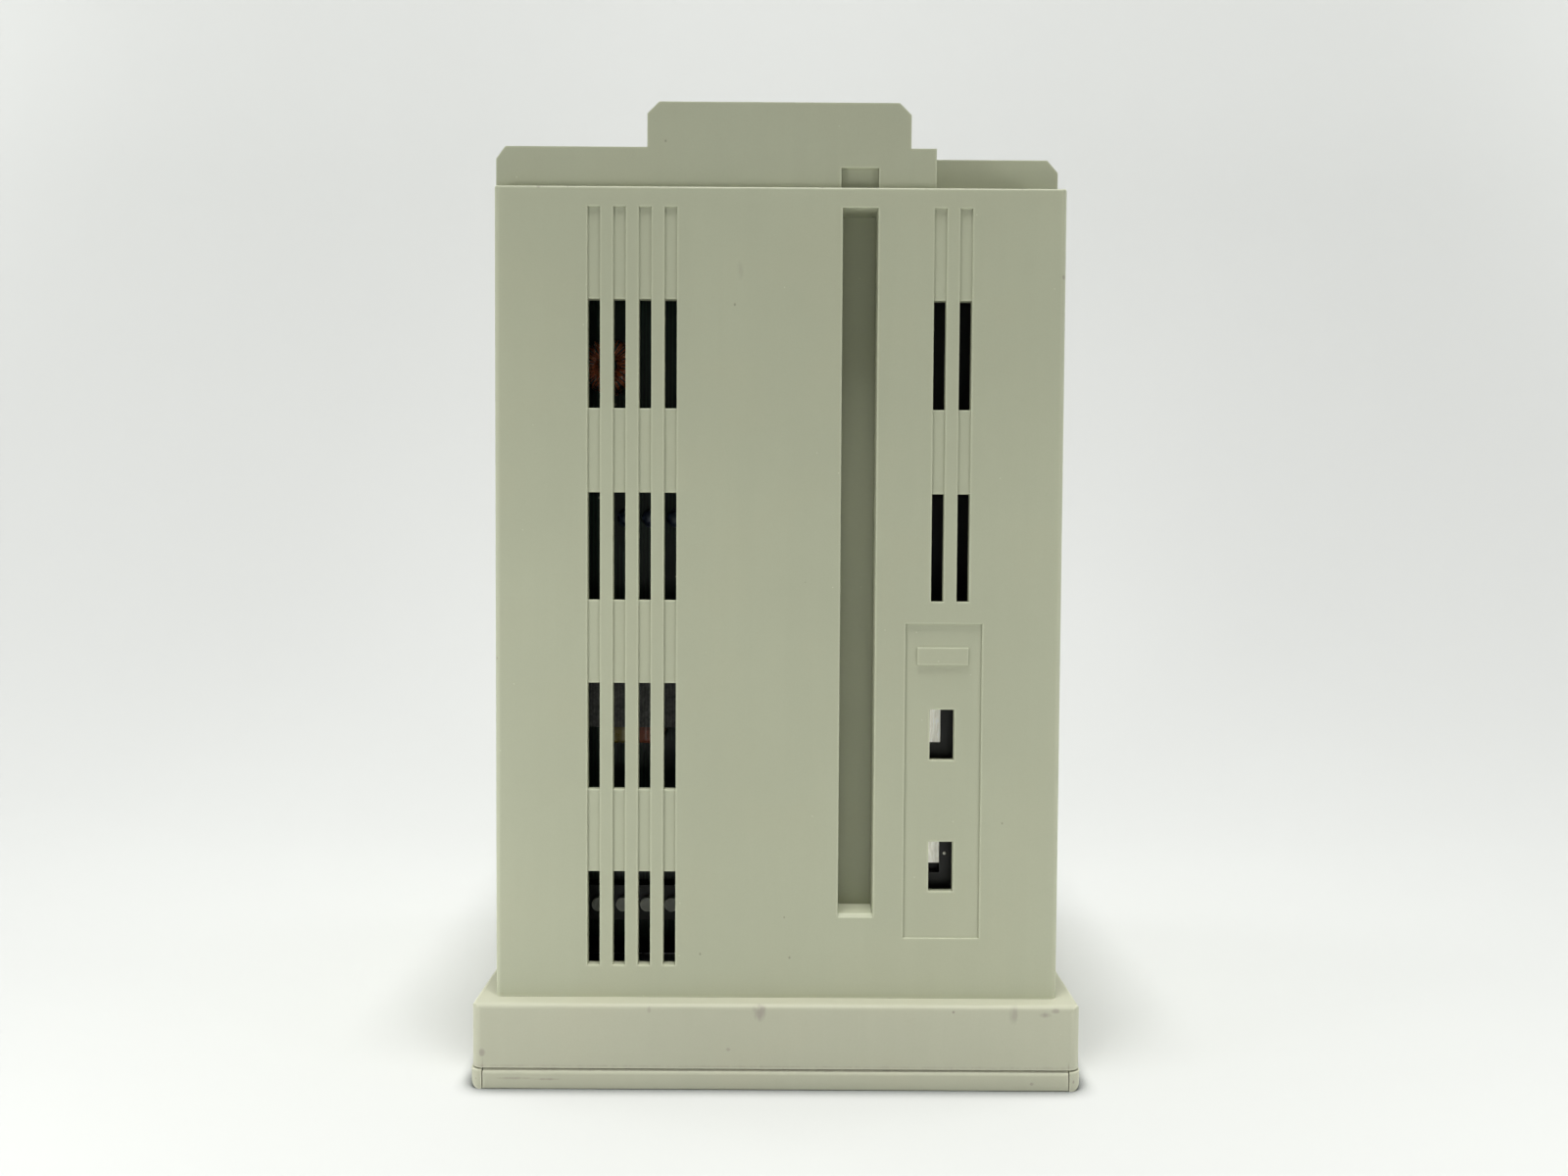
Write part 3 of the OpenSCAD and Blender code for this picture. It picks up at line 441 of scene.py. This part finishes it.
STRIP_SCUFFS_AND_SHADE = (
    ((-62.0, FACE, 2.6), (7.0, 2, 0.55), 0.5),
    ((-54.0, FACE, 2.4), (5.0, 2, 0.45), 0.6),
    ((60.5, FACE, 1.8), (0.8, 2, 0.6), 0.7),
    ((-70.8, FACE, 2.4), (0.45, 2, 0.7), 1.0),
    ((70.4, FACE, 2.3), (0.45, 2, 0.8), 1.0),
    # Painted shade: a long band along the strip's top, under the bezel's lower edge.
    ((0.0, FACE, 5.0), (400.0, 3, 1.2), 0.45),
    # Painted shade: narrow dark marks in the gaps at the leaf's two ends.
    ((-LEAF_END, FACE, 2.8), (0.45, 3, 6.0), 1.0),
    ((LEAF_END, FACE, 2.8), (0.45, 3, 6.0), 1.0),
)
CASE_FACE = -67.28
CASE_SCUFFS = (
    ((-56.8, CASE_FACE, 212.3), (0.8, 2, 0.6), 1.0),
    ((-49.9, CASE_FACE, 212.5), (0.5, 2, 0.45), 1.0),
    ((9.7, CASE_FACE, 212.5), (0.4, 2, 0.4), 0.8),
    ((39.6, CASE_FACE, 212.5), (0.6, 2, 0.4), 0.8),
    ((56.6, CASE_FACE, 212.5), (0.4, 2, 0.4), 0.8),
    ((-9.5, CASE_FACE, 193.0), (1.2, 2, 4.0), 0.35),
    ((66.6, CASE_FACE, 192.0), (0.7, 2, 0.9), 0.8),
    ((-66.8, CASE_FACE, 101.5), (0.5, 2, 0.5), 0.9),
)


def make_materials():
    case = (0.374, 0.389, 0.278)
    bezel = (0.400, 0.404, 0.303)
    return {
        "case_plastic": moulded("case_plastic", case, scuffs_and_shade=CASE_SCUFFS),
        "cover_plastic": moulded("cover_plastic", shaded(case, 0.93)),
        "bezel_plastic": moulded("bezel_plastic", bezel, scuffs_and_shade=BEZEL_SCUFFS + STRIP_SCUFFS_AND_SHADE),
        "panel_plastic": moulded("panel_plastic", (0.060, 0.064, 0.060), rough=0.5, specks=False),
        "key_plastic": moulded("key_plastic", (0.42, 0.44, 0.36), rough=0.45, specks=False),
        "black_plastic": moulded("black_plastic", (0.011, 0.011, 0.010), rough=0.42, specks=False),
        "selector_black": moulded("selector_black", (0.007, 0.007, 0.006), rough=0.45, specks=False),
        "plug_plastic": moulded("plug_plastic", (0.50, 0.51, 0.46), rough=0.4, specks=False),
        "white_plastic": fibrous_white("white_plastic"),
        "film_yellow": tape_film("film_yellow", (0.50, 0.36, 0.06)),
        "tape_olive": tape_film("tape_olive", (0.22, 0.17, 0.04)),
        "tape_red": tape_film("tape_red", (0.25, 0.07, 0.035)),
        "capacitor_sleeve": capacitor_sleeve(),
        "dipped_epoxy": dipped_epoxy(),
        # Painted highlight: near-white finish for the small screw by the lower selector, standing in for a
        # glint.
        "solder_bright": brushed("solder_bright", (0.98, 0.95, 0.84), 0.35, "z", 0.1, scale=400, dull=0.95),
        "board_green": board_face("board_green"),
        "window_clear": clear_pane("window_clear"),
        "display_dark": dark_glass("display_dark"),
        "light_pipe": light_pipe("light_pipe"),
        "coated_steel": moulded("coated_steel", (0.055, 0.055, 0.052), 0.5, relief=0.6, specks=False),
        "steel": brushed("steel", (0.60, 0.60, 0.61), 0.32, "z"),
        "aluminium": brushed("aluminium", (0.72, 0.72, 0.73), 0.34, "z"),
        "copper": wire_copper("copper"),
        "brass": brushed("brass", (0.78, 0.58, 0.28), 0.28, "z"),
        "ferrite": laminated("ferrite"),
    }


# ---- carried-over nodes -----------------------------------------------------

# Radius of the moulded or broken edges of a node, in millimetres. Three nodes have flat faces that go
# round a hole, and a larger radius there would fill the hole.
EDGE_OF = {
    "case_shell": 0.12, "front_frame": 0.12, "door_frame": 0.06, "door_leaf": 0.10,
    "rear_cover": 0.03, "power_inlet": 0.25, "switch_housing": 0.25, "switch_rocker": 0.30,
    "selector_upper": 0.12, "selector_lower": 0.12, "selector_housings": 0.03, "front_panel": 0.15,
    "port_plate": 0.08, "rear_ports": 0.10,
}
EDGE_DEFAULT = 0.12

# Nodes given a material of their own: the rear cover a darker copy of the case plastic, the selector housings
# a blacker plastic
OWN_MATERIAL = {"rear_cover": "cover_plastic", "selector_housings": "selector_black"}


def soften(node, material):
    """Gives a node its material and rounds its sharp edges with modifiers only."""
    piece = NODES[node]
    mesh = piece.data
    mesh.materials.clear()
    mesh.materials.append(material)
    if "custom_normal" in mesh.attributes:
        mesh.attributes.remove(mesh.attributes["custom_normal"])
    mesh.polygons.foreach_set("material_index", [0] * len(mesh.polygons))
    mesh.polygons.foreach_set("use_smooth", [True] * len(mesh.polygons))
    weld = piece.modifiers.new("weld", "WELD")
    weld.merge_threshold = 0.002 * MM
    flat = piece.modifiers.new("flat_faces", "DECIMATE")
    flat.decimate_type = "DISSOLVE"
    flat.angle_limit = math.radians(0.4)
    edge = piece.modifiers.new("edge", "BEVEL")
    edge.width = EDGE_OF.get(node, EDGE_DEFAULT) * MM
    edge.segments = 2
    edge.limit_method = "ANGLE"
    edge.angle_limit = math.radians(32)
    edge.harden_normals = True
    edge.use_clamp_overlap = False


# ---- pieces made here -------------------------------------------------------

def new_piece(name, bm, material):
    """Turns a bmesh in millimetres into a smooth piece that rides on the unit's own body."""
    bmesh.ops.recalc_face_normals(bm, faces=bm.faces)
    bmesh.ops.scale(bm, vec=(MM, MM, MM), verts=bm.verts)
    mesh = bpy.data.meshes.new(name)
    bm.to_mesh(mesh)
    bm.free()
    mesh.polygons.foreach_set("use_smooth", [True] * len(mesh.polygons))
    mesh.materials.append(material)
    piece = bpy.data.objects.new(name, mesh)
    bpy.context.scene.collection.objects.link(piece)
    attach(piece, "unit")
    return piece


def tube(bm, points, radius, sides=8, closed=False):
    """Sweeps a round section along points."""
    points = [Vector(p) for p in points]
    count = len(points)
    rings = []
    normal = None
    for i, p in enumerate(points):
        ahead = points[(i + 1) % count] if closed or i < count - 1 else p
        behind = points[i - 1] if closed or i > 0 else p
        along = (ahead - behind).normalized()
        if normal is None:
            normal = along.orthogonal().normalized()
        normal = (normal - normal.dot(along) * along).normalized()
        across = along.cross(normal)
        rings.append([
            bm.verts.new(p + radius * (math.cos(a) * normal + math.sin(a) * across))
            for a in (2 * math.pi * k / sides for k in range(sides))
        ])
    last = count if closed else count - 1
    for i in range(last):
        a, b = rings[i], rings[(i + 1) % count]
        for k in range(sides):
            bm.faces.new((a[k], a[(k + 1) % sides], b[(k + 1) % sides], b[k]))
    if not closed:
        bm.faces.new(rings[0][::-1])
        bm.faces.new(rings[-1])


def lathe_y(bm, x, z, profile, sides=32):
    """Turns a profile of (radius, y) points about an axis along Y. A radius of 0 closes an end."""
    rings = []
    for radius, y in profile:
        if radius == 0:
            rings.append([bm.verts.new((x, y, z))])
            continue
        angles = (2 * math.pi * k / sides for k in range(sides))
        rings.append([bm.verts.new((x + radius * math.cos(a), y, z + radius * math.sin(a))) for a in angles])
    for a, b in zip(rings, rings[1:]):
        for k in range(sides):
            j = (k + 1) % sides
            if len(a) == 1:
                bm.faces.new((a[0], b[k], b[j]))
            elif len(b) == 1:
                bm.faces.new((a[k], a[j], b[0]))
            else:
                bm.faces.new((a[k], a[j], b[j], b[k]))


def mm_box(node):
    """A node's lowest and highest corners in millimetres."""
    low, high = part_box(node)
    return low / MM, high / MM


def choke_turns(materials):
    """The choke's winding: fine enamelled wire fanned round the ring core, each turn a little out of true."""
    low, high = mm_box("choke_winding")
    core_low, core_high = mm_box("choke_core")
    cx, cz = (low[0] + high[0]) / 2, (low[2] + high[2]) / 2
    wire = 0.13
    clear = wire + 0.03
    bore, rim = 3.0, (core_high[0] - core_low[0]) / 2
    layers = ((62, 0.0), (38, 0.5))
    rng = random.Random(7)
    bm = bmesh.new()
    for turns, lift in layers:
        for i in range(turns):
            angle = 2 * math.pi * (i + rng.uniform(-0.3, 0.3)) / turns
            lean = rng.uniform(-0.12, 0.12)
            rise = lift + rng.uniform(0.0, 0.22)
            inner, outer = bore - clear - lift, rim + clear + rise
            back, front = core_high[1] + clear, core_low[1] - clear - rise
            path = []
            corners = ((inner, back), (outer, back), (outer, front), (inner, front))
            for (r0, y0), (r1, y1) in zip(corners, corners[1:] + corners[:1]):
                for s in (0.10, 0.5, 0.90):
                    r, y = r0 + (r1 - r0) * s, y0 + (y1 - y0) * s
                    a = angle + lean * (r - inner) / (outer - inner)
                    path.append((cx + r * math.cos(a), y, cz + r * math.sin(a)))
            tube(bm, path, wire, sides=6, closed=True)
    piece = new_piece("choke_turns", bm, materials["copper"])
    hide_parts("choke_winding")


def capacitor_cans(materials):
    """Three dipped capacitors with domed fronts, and two large cans with scored tops and drawn sleeves."""
    foot = mm_box("power_board")[0][1]
    dipped_x, dipped_pitch, dipped_z = -37.9, 6.2, 135.3
    can_places, r, top = ((-8.0, 128.0), (-8.0, 147.0)), 8.0, foot - 16
    dipped = bmesh.new()
    for i in range(3):
        lathe_y(dipped, dipped_x + dipped_pitch * i, dipped_z, [
            (2.1, foot), (2.5, foot - 0.5), (2.6, foot - 1.6), (2.6, foot - 4.6), (2.42, foot - 6.0),
            (1.95, foot - 7.1), (1.2, foot - 7.75), (0.5, foot - 7.97), (0, foot - 8.0),
        ])
    sleeve, metal = bmesh.new(), bmesh.new()
    lip = 0.14 * r
    for x, z in can_places:
        lathe_y(sleeve, x, z, [
            (r - 0.15, foot), (r, foot - 0.3), (r, foot - 0.12 * r), (r * 0.93, foot - 0.3 * r),
            (r, foot - 0.48 * r), (r, top + lip), (r - 0.3 * lip, top + 0.3 * lip), (r - lip, top),
            (r * 0.78, top), (r * 0.76, top + 0.06), (r * 0.76, foot - 1), (r * 0.5, foot - 1),
            (r * 0.5, foot),
        ])
        lathe_y(metal, x, z, [
            (0, top + 0.12), (r * 0.7, top + 0.1), (r * 0.755, top + 0.16), (r * 0.755, foot - 1.2),
        ])
        for turn in (0.4, 0.4 + math.pi / 2):
            dx, dz = 0.6 * r * math.cos(turn), 0.6 * r * math.sin(turn)
            tube(metal, [(x - dx, top + 0.12, z - dz), (x + dx, top + 0.12, z + dz)], 0.06 * r, sides=6)
    piece = new_piece("capacitor_sleeves", sleeve, materials["capacitor_sleeve"])
    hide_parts("capacitors")
    new_piece("capacitor_tops", metal, materials["aluminium"])
    new_piece("capacitors_dipped", dipped, materials["dipped_epoxy"])


def wound_block(bm, x, y, z, laps, sag):
    """A taped coil: a round-cornered section run along X in laps that stand out a little in the middle."""
    lap_swell, end_tuck, spare = (0.0, 0.10, 0.06), -0.25, 0.1
    steps = len(lap_swell) * laps
    corner = 1.1
    rings = []
    for i in range(steps + 1):
        along = x[0] + (x[1] - x[0]) * i / steps
        swell = lap_swell[i % len(lap_swell)] if 0 < i < steps else end_tuck
        swell += sag * math.sin(math.pi * i / steps)
        ring = []
        for cy, cz, start in ((y[1], z[1], 0), (y[0], z[1], 1), (y[0], z[0], 2), (y[1], z[0], 3)):
            iy = cy - math.copysign(corner + sag + spare, cy - (y[0] + y[1]) / 2)
            iz = cz - math.copysign(corner + sag + spare, cz - (z[0] + z[1]) / 2)
            for k in range(5):
                a = math.pi / 2 * (start + k / 4)
                dy, dz = (corner + swell) * math.cos(a), (corner + swell) * math.sin(a)
                ring.append(bm.verts.new((along, iy + dy, iz + dz)))
        rings.append(ring)
    for a, b in zip(rings, rings[1:]):
        for k in range(len(a)):
            j = (k + 1) % len(a)
            bm.faces.new((a[k], a[j], b[j], b[k]))
    bm.faces.new(rings[0][::-1])
    bm.faces.new(rings[-1])


def transformer_coils(materials):
    """Primary and secondary side by side, taped in different colours."""
    low, high = mm_box("transformer_winding")
    y, z = (low[1], high[1]), (low[2], high[2])
    primary_width, gap, laps, sag = 7.0, 0.2, 5, 0.12
    split = low[0] + primary_width
    primary, secondary = bmesh.new(), bmesh.new()
    wound_block(primary, (low[0], split), y, z, laps, sag)
    wound_block(secondary, (split + gap, high[0]), y, z, laps, sag)
    piece = new_piece("transformer_primary", primary, materials["tape_olive"])
    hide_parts("transformer_winding")
    new_piece("transformer_secondary", secondary, materials["tape_red"])


def selector_trimmer(materials):
    """A small adjusting screw beside the lower selector, coloured near white as a painted glint."""
    x, z = 40.75, 54.0
    face = mm_box("selector_housings")[0][1]
    dome = ((0.42, 0), (0.42, 0.10), (0.33, 0.28), (0.15, 0.38), (0, 0.40))
    bm = bmesh.new()
    lathe_y(bm, x, z, [(radius, face - rise) for radius, rise in dome], 16)
    new_piece("selector_trimmer", bm, materials["solder_bright"])


def socket_contacts(materials):
    """Contacts inside the rear ports: serial pins, network springs and bus contact pads."""
    port_x, top = -48.5, 222.1
    serial_y, serial_pitch, network_y, network_pitch, bus_y, bus_pitch = -32, 2.77, (-4, 16), 1.02, 36, 2.33
    bm = bmesh.new()
    for count, dx in ((5, -1.4), (4, 1.4)):
        for i in range(count):
            px, py = port_x + dx, serial_y + serial_pitch * (i - (count - 1) / 2)
            tube(bm, [(px, py, top - 5.0), (px, py, top - 0.9), (px, py, top - 0.75)], 0.45, sides=10)
    for centre in network_y:
        for i in range(8):
            py = centre + network_pitch * (i - 3.5)
            bends = ((3.9, 2.0), (2.2, 5.0), (0.9, 8.5), (0.9, 11.9))
            tube(bm, [(port_x + dx, py, top - drop) for dx, drop in bends], 0.17, sides=6)
    for dx in (-3.1, 3.7):
        for i in range(4):
            px, py = port_x + dx, bus_y + bus_pitch * (i - 1.5)
            tube(bm, [(px, py, top - 10.8), (px - 0.12, py, top - 6.0), (px, py, top - 2.2)], 0.22, sides=6)
    new_piece("socket_contacts", bm, materials["brass"])


def capacitor_sleeve():
    """Shrunk sleeve in dark blue with a paler stripe down one side."""
    t = Tree("capacitor_sleeve")
    haze = t.span(t.noise(300, detail=3), 0.3, 0.7)
    tone = t.mix(haze, (0.045, 0.075, 0.13), (0.07, 0.11, 0.18))
    stripe = t.span(t.waves(38, "Z"), 0.9, 0.95)
    t.base(t.mix(t.math("MULTIPLY", stripe, 0.6), tone, (0.42, 0.46, 0.5)))
    t.set("Roughness", t.span(haze, 0.0, 1.0, 0.22, 0.38))
    t.set("Coat Weight", 0.4)
    t.bump(haze, 0.3, 0.03 * MM)
    return t.material


def dipped_epoxy():
    """Dark blue dipped coating, glossy and a little lumpy."""
    t = Tree("dipped_epoxy")
    lumps = t.noise(420, detail=2)
    tone = t.mix(t.span(lumps, 0.3, 0.7), (0.020, 0.030, 0.062), (0.040, 0.056, 0.100))
    t.base(t.mix(t.span(t.noise(1800, detail=1), 0.62, 0.75, 0.0, 0.5), tone, (0.09, 0.11, 0.16)))
    t.set("Roughness", t.span(lumps, 0.3, 0.7, 0.24, 0.36))
    t.set("Coat Weight", 0.8)
    t.bump(lumps, 0.4, 0.08 * MM)
    return t.material


# ---- the whole --------------------------------------------------------------

make_camera()
make_light()
make_floor()
MATERIALS = make_materials()
for cad_node in NODES:
    soften(cad_node, MATERIALS[OWN_MATERIAL.get(cad_node, SLOT_OF[cad_node])])
choke_turns(MATERIALS)
capacitor_cans(MATERIALS)
transformer_coils(MATERIALS)
selector_trimmer(MATERIALS)
socket_contacts(MATERIALS)
